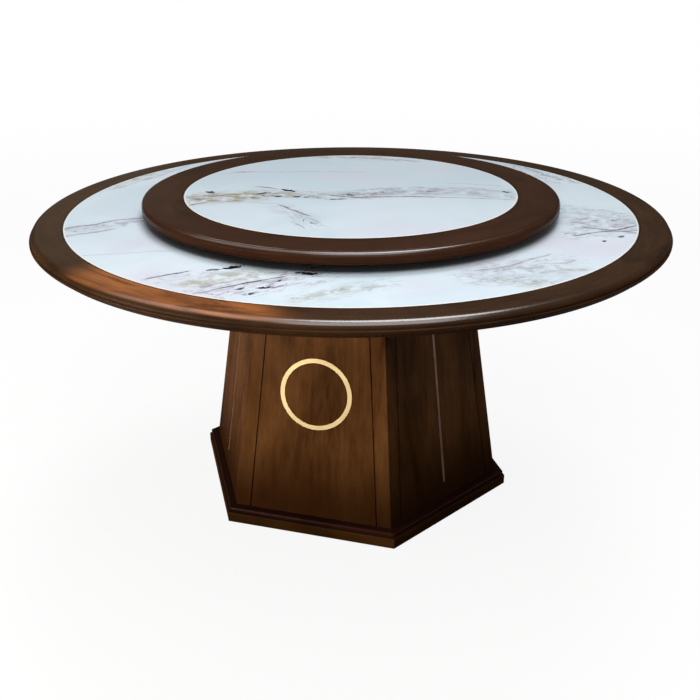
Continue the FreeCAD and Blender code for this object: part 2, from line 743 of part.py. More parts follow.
floor_pads()
for corner in range(SIDES):
    corner_block(corner)
    plinth_board(corner)
    plinth_moulding(corner)
    corner_post(corner)
for face in range(0, SIDES, 2):
    ring_panel(face)
    brass_ring(face)
    strip_panel(face + 1)
    metal_strip(face + 1)
bottom_board()
inner_hexagon("middle_brace", "braceHeight", "braceThickness")
inner_hexagon("top_plate", "(bodyTop - braceThickness)", "braceThickness")
mounting_plate()
top_bolts()
threaded_inserts()
table_core()
table_rim()
stone_disc("table_stone", "stoneRadius", "stoneFloor", "stoneThickness")
bearing_base_ring()
bearing_feet()
bearing_turning_ring()
ball_cage()
bearing_balls()
ring_screws()
susan_core()
susan_rim()
stone_disc("susan_stone", "susanStoneRadius", "susanCoreTop", "susanStoneThickness")

doc.recompute()
bodies = [item for item in doc.Objects if item.TypeId == "PartDesign::Body"]
for item in doc.Objects:
    if "Invalid" in item.State or "Error" in item.State:
        raise RuntimeError(f"{item.Name} failed: {item.State}")
for body in bodies:
    if body.Shape.isNull() or not body.Shape.isValid() or not body.Shape.Solids:
        raise RuntimeError(f"{body.Label} has no valid solid")

os.makedirs("parts", exist_ok=True)
for body in bodies:
    body.Shape.exportStep(os.path.join("parts", body.Label + ".step"))
    box = body.Shape.BoundBox
    print(f"{body.Label:24}{len(body.Shape.Solids):3} solids  z {box.ZMin:8.2f} to {box.ZMax:8.2f}")
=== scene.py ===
import math

import bmesh
import bpy
import numpy as np
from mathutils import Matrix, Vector


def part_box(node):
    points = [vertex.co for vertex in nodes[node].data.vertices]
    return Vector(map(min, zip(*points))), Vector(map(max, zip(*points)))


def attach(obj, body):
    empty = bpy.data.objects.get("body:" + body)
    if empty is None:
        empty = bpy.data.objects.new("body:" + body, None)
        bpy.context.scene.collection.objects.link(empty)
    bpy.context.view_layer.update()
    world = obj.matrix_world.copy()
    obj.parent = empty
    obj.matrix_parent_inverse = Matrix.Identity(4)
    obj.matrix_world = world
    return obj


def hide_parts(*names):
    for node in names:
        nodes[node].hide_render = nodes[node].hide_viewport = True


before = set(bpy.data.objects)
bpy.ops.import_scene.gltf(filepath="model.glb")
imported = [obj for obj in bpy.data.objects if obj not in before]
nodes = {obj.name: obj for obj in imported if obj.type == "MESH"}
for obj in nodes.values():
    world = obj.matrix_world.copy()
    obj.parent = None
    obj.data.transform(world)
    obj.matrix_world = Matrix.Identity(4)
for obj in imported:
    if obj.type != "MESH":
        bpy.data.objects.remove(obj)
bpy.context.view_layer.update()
scene = bpy.context.scene
mm = 0.001
print("frame loaded:", len(nodes), "CAD nodes")


# what the frame says about the two round tops
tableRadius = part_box("table_rim")[1].x
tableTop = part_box("table_rim")[1].z
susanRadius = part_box("susan_rim")[1].x
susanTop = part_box("susan_rim")[1].z


def meshObject(name, points, faces, smoothAngle=35):
    mesh = bpy.data.meshes.new(name)
    mesh.from_pydata(points, [], faces)
    mesh.update()
    thing = bpy.data.objects.new(name, mesh)
    scene.collection.objects.link(thing)
    smoothBelow(mesh, smoothAngle)
    return thing


def smoothBelow(mesh, angle):
    mesh.polygons.foreach_set("use_smooth", np.ones(len(mesh.polygons), bool))
    mesh.set_sharp_from_angle(angle=math.radians(angle))


def meshPoints(mesh):
    flat = np.empty(len(mesh.vertices) * 3)
    mesh.vertices.foreach_get("co", flat)
    return flat.reshape(-1, 3)


def storeGrain(mesh, grain):
    # grain = where each vertex lies in the timber: across, into, and along it, the last one shortened
    layer = mesh.attributes.new("grain", "FLOAT_VECTOR", "POINT")
    layer.data.foreach_set("vector", np.ascontiguousarray(grain, dtype=np.float32).ravel())


def easedProfile(cornersAndCuts):
    # Each corner C of a closed outline becomes a curve from A to B, the points that lie `cut` away from
    # it on its two sides: (1-t)^2 A + 2t(1-t) C + t^2 B. A point twice as far out on each side holds
    # the flat beside it flat. A corner with cut 0 stays one point.
    corners = np.array([corner for corner, cut in cornersAndCuts], float)
    cuts = [cut for corner, cut in cornersAndCuts]
    outline = []
    for corner, cut, before, after in zip(
        corners, cuts, np.roll(corners, 1, axis=0), np.roll(corners, -1, axis=0)
    ):
        if cut == 0:
            outline.append(corner[None])
            continue
        back, onward = before - corner, after - corner
        backLength, onwardLength = np.linalg.norm(back), np.linalg.norm(onward)
        a = corner + back / backLength * cut
        b = corner + onward / onwardLength * cut
        t = np.linspace(0, 1, 4)[:, None]
        curve = (1 - t) ** 2 * a + 2 * t * (1 - t) * corner + t ** 2 * b
        if backLength > 5 * cut:
            curve = np.vstack([a + (a - corner), curve])
        if onwardLength > 5 * cut:
            curve = np.vstack([curve, b + (b - corner)])
        outline.append(curve)
    return np.vstack(outline)


def arcPoints(centre, radius, start, end, count):
    # points centre + radius (cos, sin), from the start angle to the end angle in degrees
    angle = np.radians(np.linspace(start, end, count))
    return np.column_stack([centre[0] + radius * np.cos(angle), centre[1] + radius * np.sin(angle)])


def arcCorners(arc, startCut, endCut):
    # an arc as corners of an outline, eased at its two ends only
    return [(arc[0], startCut), *((point, 0) for point in arc[1:-1]), (arc[-1], endCut)]


def turnedRing(name, outline, steps, stretch):
    # A closed outline of (radius, height) carried round Z: x = r cos a, y = r sin a, z = height.
    # The grain runs round the ring: across it is the length along the outline, and along it the
    # place on a circle that is `stretch` times as large.
    angle = np.arange(steps) / steps * 2 * np.pi
    radius, height = outline[:, :1], outline[:, 1:]
    points = np.stack(
        [radius * np.cos(angle), radius * np.sin(angle), height + 0 * angle], axis=-1
    ).reshape(-1, 3)
    index = np.arange(len(outline) * steps).reshape(len(outline), steps)
    below, beside = np.roll(index, -1, axis=0), np.roll(index, -1, axis=1)
    faces = np.stack([index, beside, np.roll(below, -1, axis=1), below], axis=-1).reshape(-1, 4)
    thing = meshObject(name, points, faces.tolist())
    travelled = np.concatenate([[0], np.cumsum(np.linalg.norm(np.diff(outline, axis=0), axis=1))])
    grain = np.stack(
        [
            travelled[:, None] + 0 * angle,
            outline[:, 0].max() * stretch * np.cos(angle) + 0 * radius,
            outline[:, 0].max() * stretch * np.sin(angle) + 0 * radius,
        ],
        axis=-1,
    )
    storeGrain(thing.data, grain.reshape(-1, 3))
    return thing


def turnedDisc(name, outline, steps):
    # An open outline from the axis on top to the axis below, carried round Z as a ring is, with one
    # vertex at each pole.
    angle = np.arange(steps) / steps * 2 * np.pi
    radius, height = outline[1:-1, :1], outline[1:-1, 1:]
    rings = np.stack(
        [radius * np.cos(angle), radius * np.sin(angle), height + 0 * angle], axis=-1
    ).reshape(-1, 3)
    points = np.vstack([rings, [[0, 0, outline[0, 1]], [0, 0, outline[-1, 1]]]])
    index = np.arange(len(rings)).reshape(-1, steps)
    beside = np.roll(index, -1, axis=1)
    sides = np.stack([index[1:], beside[1:], beside[:-1], index[:-1]], axis=-1).reshape(-1, 4)
    topPole, lowPole = len(rings), len(rings) + 1
    top = np.column_stack([index[0], beside[0], np.full(steps, topPole)])
    low = np.column_stack([beside[-1], index[-1], np.full(steps, lowPole)])
    return meshObject(name, points, sides.tolist() + top.tolist() + low.tolist())


class Wire:
    # one output socket; arithmetic on it adds Math nodes
    def __init__(self, paint, socket):
        self.paint = paint
        self.socket = socket

    def sum(self, operation, *values):
        return self.paint.node("ShaderNodeMath", {"operation": operation}, dict(enumerate(values)))

    def __add__(self, other):
        return self.sum("ADD", self, other)

    __radd__ = __add__

    def __sub__(self, other):
        return self.sum("SUBTRACT", self, other)

    def __rsub__(self, other):
        return self.sum("SUBTRACT", other, self)

    def __mul__(self, other):
        return self.sum("MULTIPLY", self, other)

    __rmul__ = __mul__

    def __truediv__(self, other):
        return self.sum("DIVIDE", self, other)

    def __pow__(self, other):
        return self.sum("POWER", self, other)

    def __abs__(self):
        return self.sum("ABSOLUTE", self)


class Paint:
    # a material, or the world, and the nodes in it
    def __init__(self, owner):
        self.owner = bpy.data.materials.new(owner) if isinstance(owner, str) else owner
        self.owner.use_nodes = True
        self.tree = self.owner.node_tree
        self.tree.nodes.clear()

    def node(self, kind, settings=None, inputs=None, output=0):
        made = self.tree.nodes.new(kind)
        for name, value in (settings or {}).items():
            if name == "stops":
                for place, colour in value[1:-1]:
                    made.color_ramp.elements.new(place).color = (*colour, 1)
                for element, (place, colour) in zip(made.color_ramp.elements, sorted(value)):
                    element.position = place
                    element.color = (*colour, 1)
            else:
                setattr(made, name, value)
        for name, value in (inputs or {}).items():
            if isinstance(value, Wire):
                self.tree.links.new(value.socket, made.inputs[name])
            else:
                made.inputs[name].default_value = value
        return Wire(self, made.outputs[output])

    def place(self):
        return self.node("ShaderNodeTexCoord", output="Object")

    def attribute(self, name):
        return self.node("ShaderNodeAttribute", {"attribute_name": name}, output="Vector")

    def vector(self, operation, *values, output=0):
        return self.node("ShaderNodeVectorMath", {"operation": operation}, dict(enumerate(values)), output)

    def noise(self, place, scale, detail=2.0, roughness=0.5, distortion=0.0, output="Fac"):
        return self.node(
            "ShaderNodeTexNoise",
            {"noise_dimensions": "3D"},
            {"Vector": place, "Scale": scale, "Detail": detail, "Roughness": roughness,
             "Distortion": distortion},
            output,
        )

    def rise(self, value, low, high):
        # 0 below `low`, 1 above `high`, smooth between them; falls if low is the larger
        return self.node(
            "ShaderNodeMapRange",
            {"interpolation_type": "SMOOTHSTEP"},
            {"Value": value, "From Min": low, "From Max": high},
        )

    def blend(self, share, first, second, way="MIX"):
        def colour(value):
            return value if isinstance(value, Wire) else (*value, 1)
        return self.node(
            "ShaderNodeMix",
            {"data_type": "RGBA", "blend_type": way},
            {0: share, 6: colour(first), 7: colour(second)},
            2,
        )

    def ramp(self, value, *stops):
        return self.node("ShaderNodeValToRGB", {"stops": stops}, {"Fac": value})

    def bump(self, height, distance, strength=1.0):
        return self.node(
            "ShaderNodeBump", inputs={"Height": height, "Distance": distance, "Strength": strength},
            output="Normal",
        )

    def surface(self, shader, kind="ShaderNodeOutputMaterial"):
        result = self.tree.nodes.new(kind)
        self.tree.links.new(shader.socket, result.inputs["Surface"])
        return self.owner

    def finish(self, sockets):
        return self.surface(self.node("ShaderNodeBsdfPrincipled", inputs=sockets))


rimLook = {
    "deep": (0.018, 0.0078, 0.0036),
    "middle": (0.050, 0.0220, 0.0090),
    "light": (0.080, 0.036, 0.015),
    "pores": 0.10,
    "roughness": 0.21,
    "gloss": 1.15,
    "joint": 721 * mm,          # stain gathers beside the marble
    "polished": (tableTop - 11 * mm, tableTop - 7 * mm),    # the lacquer is rubbed up above these heights
    # painted warm reflection on the top and crown at the front left, mottled: reflected warm light painted
    # into the wood's colour
    "paintedReflection": {
        "start": (-0.56, -0.505, tableTop),
        "end": (-0.15, -0.785, tableTop),
        "fade": 0.07,                   # beyond its ends
        "edge": 0.078,                  # from its middle line
        "core": 0.02,
        "depth": (7 * mm, 2 * mm),
        "dark": (0.14, 0.046, 0.013),
        "light": (0.42, 0.140, 0.036),
    },
}
susanRimLook = {
    "deep": (0.020, 0.0075, 0.0042),
    "middle": (0.050, 0.0180, 0.0085),
    "light": (0.072, 0.028, 0.013),
    "pores": 0.10,
    "roughness": 0.21,
    "gloss": 1.08,
    "joint": 426 * mm,
    "polished": (susanTop - 11 * mm, susanTop - 7 * mm),
}
boardLook = {
    "deep": (0.026, 0.0085, 0.0020),
    "middle": (0.114, 0.0460, 0.0140),
    "light": (0.200, 0.088, 0.0310),
    "pores": 0.45,
    "roughness": 0.20,
    "gloss": 1.08,
    "foot": (0.05, 0.28),       # painted shade: darker towards the foot, between these heights
}
plinthLook = {
    "deep": (0.014, 0.0045, 0.0012),
    "middle": (0.046, 0.0175, 0.0040),
    "light": (0.082, 0.0340, 0.0090),
    "pores": 0.30,
    "roughness": 0.28,
    "gloss": 1.16,
}
mouldingLook = {
    "deep": (0.010, 0.0026, 0.0018),
    "middle": (0.034, 0.0100, 0.0072),
    "light": (0.056, 0.0185, 0.0140),
    "pores": 0.20,
    "roughness": 0.26,
    "gloss": 1.22,
}


# the dark seam beside the marble, and painted shade towards the foot of a board
stain = {
    "foot": 0.9,                        # share of the deep colour at the foot of a board, as painted shade
    "joint": 0.85,                      # share of the next colour beside the marble
    "jointColour": (0.006, 0.007, 0.004),
    "jointWidth": (5 * mm, 1.5 * mm),
}
lacquer = {
    "IOR": 1.7,
    "roughness": 0.21,
}


def walnut(name, look):
    # Dark stained walnut under satin lacquer: broad figure, narrow streaks and open pores, all drawn
    # out along the grain, and soft clouds of stain. Some looks add a painted warm reflection on the crown,
    # and painted shade towards the foot.
    paint = Paint(name)
    grain = paint.attribute("grain")
    place = paint.place()
    height = paint.node("ShaderNodeSeparateXYZ", inputs={"Vector": place}, output="Z")
    wander = paint.vector("MULTIPLY_ADD", paint.noise(place, 3.1, 2, output="Color"), (0.03,) * 3, grain)
    figure = paint.noise(wander, 11, 3, 0.55, 0.9)
    streaks = paint.noise(wander, 75, 4, 0.62)
    cloud = paint.noise(place, 6.5, 3, 0.5, 0.4)
    pores = paint.rise(paint.noise(grain, 620, 2, 0.6), 0.60, 0.74)
    tone = figure * 0.50 + streaks * 0.32 + cloud * 0.30 - 0.06
    colour = paint.ramp(tone, (0.30, look["deep"]), (0.52, look["middle"]), (0.76, look["light"]))
    # painted warm reflection: a mottled warm patch on the crown at the front left, laid over the wood's
    # colour
    if "paintedReflection" in look:
        paintedReflection = look["paintedReflection"]
        reach = Vector(paintedReflection["end"]) - Vector(paintedReflection["start"])
        along, length, fade = reach.normalized(), reach.length, paintedReflection["fade"]
        fromStart = paint.vector("SUBTRACT", place, paintedReflection["start"])
        forward = paint.vector("DOT_PRODUCT", fromStart, along, output="Value")
        away = paint.vector("LENGTH", paint.vector("CROSS_PRODUCT", fromStart, along), output="Value")
        paintedReflectionMask = paint.rise(away + (cloud - 0.5) * 0.06, paintedReflection["edge"], paintedReflection["core"])
        paintedReflectionMask = paintedReflectionMask * paint.rise(forward, -fade, fade) * paint.rise(forward, length + fade, length - fade)
        deepest, shallowest = paintedReflection["depth"]
        paintedReflectionMask = paintedReflectionMask * paint.rise(height, tableTop - deepest, tableTop - shallowest)
        mottle = paint.noise(wander, 17, 4, 0.6, 1.6)
        paintedReflectionColour = paint.blend(paint.rise(mottle, 0.34, 0.62), paintedReflection["dark"], paintedReflection["light"])
        colour = paint.blend(paintedReflectionMask, colour, paintedReflectionColour)
    # painted shade: the boards darken towards the foot
    if "foot" in look:
        paintedShadeNearFoot = paint.rise(height, *reversed(look["foot"]))
        colour = paint.blend(paintedShadeNearFoot * stain["foot"], colour, look["deep"])
    colour = paint.blend(pores * look["pores"], colour, look["deep"])
    if "joint" in look:
        fromAxis = paint.vector("LENGTH", paint.vector("MULTIPLY", place, (1, 1, 0)), output="Value")
        seam = paint.rise(fromAxis, *(look["joint"] + width for width in stain["jointWidth"]))
        colour = paint.blend(seam * stain["joint"], colour, stain["jointColour"])
    sockets = {
        "Base Color": colour,
        "Roughness": look["roughness"] + streaks * 0.10 + pores * (0.3 * look["pores"]),
        "IOR": look["gloss"],
        "Normal": paint.bump(streaks * 0.5 - pores * look["pores"] * 2, 0.00008, 0.5),
    }
    if "polished" in look:
        sockets["Coat Weight"] = paint.rise(height, *look["polished"])
        sockets["Coat IOR"] = lacquer["IOR"]
        sockets["Coat Roughness"] = lacquer["roughness"]
    return paint.finish(sockets)


marbleLook = {
    "violet": (0.74, 0.73, 0.85),
    "lilac": (0.43, 0.41, 0.48),
    "grey": (0.145, 0.142, 0.162),
    "slate": (0.075, 0.085, 0.100),
    "gold": (0.42, 0.360, 0.210),
    "olive": (0.150, 0.130, 0.085),
    "black": (0.014, 0.014, 0.020),
    "edge": (0.93, 0.92, 0.90),
    "bends": ((4.3, 0.050), (19, 0.018), (75, 0.0065)),     # scale of the noise, how far it bends
    "washFade": 0.04,               # how far a wash fades at its ends
    "bundleFade": 0.03,             # a bundle, or the halo of a vein
    "veinFade": 0.012,
    "halo": 0.35,                   # strength of the violet beside a vein
    "paintedEdgeHighlight": (5 * mm, 2.5 * mm),   # painted highlight: a pale band at the edge, coming in between these distances from the outside
}

# Each stroke: where it starts and ends (metres, seen from above), its width, its strength and its
# colour. Veins are single lines, washes are soft bands of colour, and bundles are fine threads that
# run beside each other.
susanStone = {
    "radius": 425 * mm,
    "seed": 4.2,
    "ground": (0.715, 0.815, 0.890),
    "cool": (0.640, 0.765, 0.845),
    "washes": (
        ((-0.41, -0.100), (-0.22, -0.050), 0.080, 1.00, "gold"),
        ((-0.24, -0.045), (-0.06, -0.065), 0.034, 0.90, "gold"),
        ((-0.36, 0.225), (-0.22, 0.225), 0.060, 0.45, "violet"),
        ((-0.18, -0.150), (-0.08, -0.290), 0.050, 0.45, "lilac"),
        ((-0.12, 0.408), (0.10, 0.400), 0.024, 0.70, "gold"),
        ((-0.02, -0.050), (0.24, -0.015), 0.060, 0.85, "lilac"),
        ((0.18, -0.010), (0.42, -0.040), 0.070, 0.50, "lilac"),
    ),
    "bundles": (
        ((-0.42, -0.095), (-0.20, -0.055), 0.072, 1.00, "olive"),
        ((-0.26, -0.035), (0.04, -0.065), 0.050, 1.00, "olive"),
        ((-0.13, -0.235), (-0.07, -0.345), 0.040, 1.00, "grey"),
        ((-0.05, 0.385), (0.16, 0.365), 0.030, 0.60, "grey"),
        ((-0.02, -0.055), (0.14, -0.040), 0.045, 1.00, "olive"),
        ((0.02, -0.025), (0.24, 0.005), 0.050, 1.00, "grey"),
        ((0.24, 0.015), (0.42, -0.055), 0.055, 0.60, "grey"),
    ),
    "veins": (
        ((-0.38, 0.180), (-0.26, 0.208), 0.007, 0.60, "lilac"),
        ((-0.33, 0.206), (-0.27, 0.206), 0.009, 0.70, "slate"),
        ((-0.26, 0.206), (0.05, 0.200), 0.006, 0.75, "lilac"),
        ((-0.40, -0.155), (-0.33, -0.112), 0.009, 0.95, "slate"),
        ((-0.33, -0.112), (-0.17, -0.135), 0.006, 0.65, "lilac"),
        ((-0.17, -0.150), (-0.09, -0.240), 0.010, 0.75, "grey"),
        ((-0.25, 0.040), (-0.19, 0.006), 0.009, 0.80, "slate"),
        ((-0.19, 0.004), (0.03, -0.030), 0.008, 0.60, "lilac"),
        ((-0.05, -0.050), (0.05, -0.092), 0.008, 0.90, "slate"),
        ((0.03, -0.074), (0.22, -0.074), 0.008, 0.95, "slate"),
        ((0.22, -0.076), (0.42, -0.092), 0.006, 0.75, "grey"),
        ((-0.40, -0.060), (-0.35, -0.085), 0.007, 0.80, "olive"),
        ((-0.34, -0.045), (-0.27, -0.075), 0.007, 0.70, "olive"),
        ((-0.20, -0.045), (-0.13, -0.034), 0.007, 0.85, "olive"),
        ((-0.13, -0.034), (-0.06, -0.062), 0.007, 0.65, "olive"),
        ((0.16, 0.036), (0.31, -0.022), 0.008, 0.55, "grey"),
        ((0.25, 0.078), (0.40, 0.042), 0.006, 0.40, "grey"),
        ((0.00, 0.405), (0.19, 0.352), 0.012, 0.60, "grey"),
    ),
    "flecks": (
        ((-0.360, -0.016), (-0.344, -0.028), 0.020, 0.95, "slate"),
        ((-0.385, -0.092), (-0.370, -0.090), 0.012, 0.60, "slate"),
        ((-0.230, -0.038), (-0.203, -0.030), 0.014, 0.95, "slate"),
        ((-0.178, 0.006), (-0.142, -0.016), 0.018, 1.00, "black"),
        ((-0.184, -0.068), (-0.170, -0.066), 0.013, 1.00, "black"),
        ((-0.136, -0.074), (-0.122, -0.070), 0.014, 0.95, "black"),
        ((-0.110, -0.076), (-0.100, -0.074), 0.011, 0.80, "slate"),
        ((-0.050, -0.088), (-0.010, -0.092), 0.012, 0.85, "slate"),
        ((-0.006, -0.045), (0.012, -0.058), 0.013, 0.85, "slate"),
        ((0.392, -0.018), (0.404, -0.024), 0.014, 0.90, "black"),
    ),
}
tableStone = {
    "radius": 720 * mm,
    "seed": 1.7,
    "ground": (0.795, 0.900, 0.975),
    "cool": (0.700, 0.835, 0.920),
    "washes": (
        ((-0.36, -0.600), (-0.17, -0.505), 0.060, 0.75, "gold"),
        ((-0.30, -0.640), (-0.08, -0.540), 0.080, 0.90, "violet"),
        ((-0.70, -0.225), (-0.50, -0.095), 0.035, 0.45, "lilac"),
        ((-0.68, 0.300), (-0.58, 0.370), 0.050, 0.75, "gold"),
        ((-0.70, 0.180), (-0.65, 0.260), 0.040, 0.50, "gold"),
        ((0.26, -0.480), (0.46, -0.540), 0.110, 0.45, "lilac"),
        ((0.28, -0.580), (0.40, -0.590), 0.025, 0.60, "gold"),
        ((0.42, -0.492), (0.51, -0.496), 0.016, 0.70, "gold"),
        ((0.54, -0.100), (0.71, -0.160), 0.150, 0.50, "lilac"),
        ((-0.11, -0.680), (0.05, -0.580), 0.040, 0.40, "gold"),
    ),
    "bundles": (
        ((-0.31, -0.650), (-0.04, -0.500), 0.090, 0.85, "grey"),
        ((-0.42, -0.560), (-0.18, -0.490), 0.050, 0.80, "lilac"),
        ((-0.11, -0.680), (0.10, -0.570), 0.045, 0.50, "grey"),
        ((0.22, -0.560), (0.50, -0.430), 0.080, 0.50, "grey"),
        ((0.26, -0.570), (0.42, -0.590), 0.040, 0.55, "olive"),
        ((0.52, -0.020), (0.71, -0.050), 0.070, 0.50, "grey"),
        ((0.54, -0.150), (0.71, -0.130), 0.080, 0.85, "grey"),
        ((0.50, -0.250), (0.71, -0.200), 0.060, 0.85, "grey"),
        ((-0.70, -0.230), (-0.48, -0.080), 0.050, 0.60, "grey"),
        ((0.48, 0.500), (0.64, 0.270), 0.080, 0.85, "grey"),
        ((-0.66, 0.300), (-0.55, 0.440), 0.040, 0.60, "grey"),
    ),
    "veins": (
        ((-0.70, -0.205), (-0.58, -0.108), 0.011, 0.75, "grey"),
        ((-0.58, -0.108), (-0.50, -0.085), 0.013, 0.75, "grey"),
        ((-0.70, -0.270), (-0.58, -0.190), 0.010, 0.65, "grey"),
        ((-0.60, -0.400), (-0.40, -0.366), 0.007, 0.30, "grey"),
        ((-0.42, -0.556), (-0.33, -0.495), 0.008, 0.95, "slate"),
        ((-0.26, -0.600), (-0.14, -0.542), 0.009, 1.00, "slate"),
        ((-0.30, -0.632), (-0.26, -0.604), 0.006, 0.80, "slate"),
        ((-0.18, -0.606), (-0.13, -0.598), 0.006, 0.80, "slate"),
        ((0.25, -0.512), (0.34, -0.478), 0.009, 0.50, "grey"),
        ((0.34, -0.478), (0.43, -0.392), 0.009, 0.45, "grey"),
        ((0.56, -0.178), (0.68, -0.238), 0.009, 0.95, "slate"),
        ((0.52, -0.252), (0.70, -0.178), 0.009, 0.95, "slate"),
        ((0.58, -0.225), (0.71, -0.215), 0.007, 0.80, "slate"),
        ((0.51, 0.520), (0.56, 0.400), 0.010, 0.55, "grey"),
        ((-0.66, 0.200), (-0.50, 0.500), 0.009, 0.35, "grey"),
    ),
    "flecks": (
        ((-0.295, -0.494), (-0.272, -0.486), 0.014, 0.90, "slate"),
        ((-0.262, -0.482), (-0.234, -0.464), 0.022, 1.00, "black"),
        ((-0.118, -0.522), (-0.078, -0.522), 0.018, 1.00, "black"),
        ((-0.188, -0.606), (-0.164, -0.600), 0.010, 0.95, "black"),
        ((-0.224, -0.612), (-0.214, -0.606), 0.010, 0.90, "black"),
        ((-0.199, -0.642), (-0.191, -0.636), 0.011, 0.95, "black"),
        ((-0.152, -0.572), (-0.147, -0.562), 0.008, 0.90, "black"),
        ((0.630, -0.272), (0.640, -0.266), 0.012, 0.85, "slate"),
        ((0.579, -0.311), (0.585, -0.305), 0.011, 1.00, "black"),
    ),
}


def marble(name, stone):
    # Polished white marble. Every stroke is a line between two points, bent by noise at three sizes
    # and fading at its ends.
    paint = Paint(name)
    look, seed = marbleLook, stone["seed"]
    place = paint.vector("MULTIPLY", paint.place(), (1, 1, 0))
    shifted = paint.vector("ADD", place, (0, 0, seed))
    bent = place
    for scale, reach in look["bends"]:
        drift = paint.noise(shifted, scale, 2, output="Color")
        drift = paint.vector("SUBTRACT", drift, (0.5, 0.5, 0.5))
        bent = paint.vector("MULTIPLY_ADD", drift, (reach, reach, 0), bent)
    patchy = paint.noise(shifted, 30, 3, 0.6)
    ragged = paint.noise(shifted, 120, 3, 0.6)
    soft = paint.noise(shifted, 2.6, 3, 0.55, 0.8)
    lilac = paint.noise(paint.vector("ADD", shifted, (7, 3, 0)), 3.3, 2)

    def measure(start, end):
        # how far a point lies along a stroke and to its side, and the stroke's length
        reach = Vector(end) - Vector(start)
        along = reach.normalized()
        fromStart = paint.vector("SUBTRACT", bent, (*start, 0))
        forward, aside = (
            paint.vector("DOT_PRODUCT", fromStart, (*axis, 0), output="Value")
            for axis in (along, along.orthogonal())
        )
        return forward, aside, reach.length

    def band(forward, aside, length, width, fade):
        ends = paint.rise(forward, -fade, fade) * paint.rise(forward, length + fade, length - fade)
        return ends * paint.rise(abs(aside), width, width * 0.15)

    colour = paint.blend(paint.rise(soft, 0.35, 0.65), stone["ground"], stone["cool"])
    colour = paint.blend(paint.rise(lilac, 0.50, 0.75) * 0.6, colour, look["violet"])
    for start, end, width, strength, tint in stone["washes"]:
        mask = band(*measure(start, end), width, look["washFade"]) * paint.rise(patchy, 0.32, 0.66)
        colour = paint.blend(mask * (strength * 0.9), colour, look[tint])
    for start, end, width, strength, tint in stone["bundles"]:
        forward, aside, length = measure(start, end)
        drawnOut = paint.node("ShaderNodeCombineXYZ", inputs={"X": forward * 0.20, "Y": aside, "Z": seed})
        weave = paint.noise(drawnOut, 52, 5, 0.60, 0.9)
        threads = paint.rise(abs(weave - 0.5), 0.036, 0.008) * paint.rise(patchy, 0.30, 0.54)
        mask = threads * band(forward, aside, length, width, look["bundleFade"])
        colour = paint.blend(mask * strength, colour, look[tint])
    for start, end, width, strength, tint in stone["veins"]:
        forward, aside, length = measure(start, end)
        halo = band(forward, aside, length, width * 2.5, look["bundleFade"])
        colour = paint.blend(halo * (look["halo"] * strength), colour, look["violet"])
        mask = band(forward, aside, length, width * 0.55, look["veinFade"]) * (0.45 + patchy)
        colour = paint.blend(mask * strength, colour, look[tint])
    for start, end, width, strength, tint in stone["flecks"]:
        forward, aside, length = measure(start, end)
        half = (length + width * 0.5) / 2
        spread = paint.node("ShaderNodeCombineXYZ", inputs={
            "X": (forward - length / 2) / half, "Y": aside / (width * 0.5),
        })
        away = paint.vector("LENGTH", spread, output="Value") + (ragged - 0.5) * 2.4
        colour = paint.blend(paint.rise(away, 1.15, 0.7) * strength, colour, look[tint])
    # painted highlight: a pale band along the marble's edge, where its polished round catches the light
    fromAxis = paint.vector("LENGTH", place, output="Value")
    paintedEdgeHighlight = paint.rise(fromAxis, *(stone["radius"] - inwards for inwards in look["paintedEdgeHighlight"]))
    colour = paint.blend(paintedEdgeHighlight, colour, look["edge"])
    return paint.finish({
        "Base Color": colour,
        "Roughness": 0.10 + patchy * 0.05,
        "Specular IOR Level": 0.45,
    })


plyThickness = 1.5 * mm


def plywood(name):
    # Plies at the edges, plain rotary-cut veneer on the faces.
    paint = Paint(name)
    place = paint.place()
    grain = paint.vector("MULTIPLY", place, (1, 0.07, 0.6))
    figure = paint.noise(grain, 24, 4, 0.6, 0.8)
    height = paint.node("ShaderNodeSeparateXYZ", inputs={"Vector": place}, output="Z")
    upAndDown = paint.node("ShaderNodeMath", {"operation": "PINGPONG"}, {0: height, 1: plyThickness})
    plies = paint.rise(upAndDown, plyThickness * 0.4, plyThickness * 0.6)
    colour = paint.ramp(figure, (0.3, (0.36, 0.24, 0.13)), (0.7, (0.56, 0.42, 0.26)))
    colour = paint.blend(plies * 0.25, colour, (0.24, 0.15, 0.08))
    return paint.finish({"Base Color": colour, "Roughness": 0.62 + figure * 0.1,
                         "Normal": paint.bump(figure, 0.0002, 0.4)})


def softwood(name):
    paint = Paint(name)
    grain = paint.vector("MULTIPLY", paint.place(), (1, 1, 0.08))
    rings = paint.noise(grain, 55, 3, 0.5, 0.6)
    colour = paint.ramp(rings, (0.35, (0.42, 0.27, 0.14)), (0.65, (0.66, 0.49, 0.29)))
    return paint.finish({"Base Color": colour, "Roughness": 0.66 + rings * 0.1,
                         "Normal": paint.bump(rings, 0.0002, 0.4)})


def metal(name, light, dark, roughness, scratch=(1, 1, 1), scale=900):
    # Metal with fine marks left by rolling or turning, drawn out along `scratch`.
    paint = Paint(name)
    place = paint.place()
    marks = paint.noise(paint.vector("MULTIPLY", place, scratch), scale, 2, 0.6)
    stain = paint.noise(place, 14, 3, 0.6)
    colour = paint.blend(paint.rise(stain, 0.3, 0.75), light, dark)
    return paint.finish({
        "Base Color": colour,
        "Metallic": 1.0,
        "Roughness": roughness + marks * 0.16 + stain * 0.06,
        "Normal": paint.bump(marks, 0.00004, 0.35),
    })


def moulded(name, light, dark, roughness, scale=260):
    # Moulded or pressed stuff: plastic, rubber and felt.
    paint = Paint(name)
    speck = paint.noise(paint.place(), scale, 3, 0.6)
    return paint.finish({
        "Base Color": paint.blend(speck, dark, light),
        "Roughness": roughness + speck * 0.12,
        "Normal": paint.bump(speck, 0.0002, 0.5),
    })


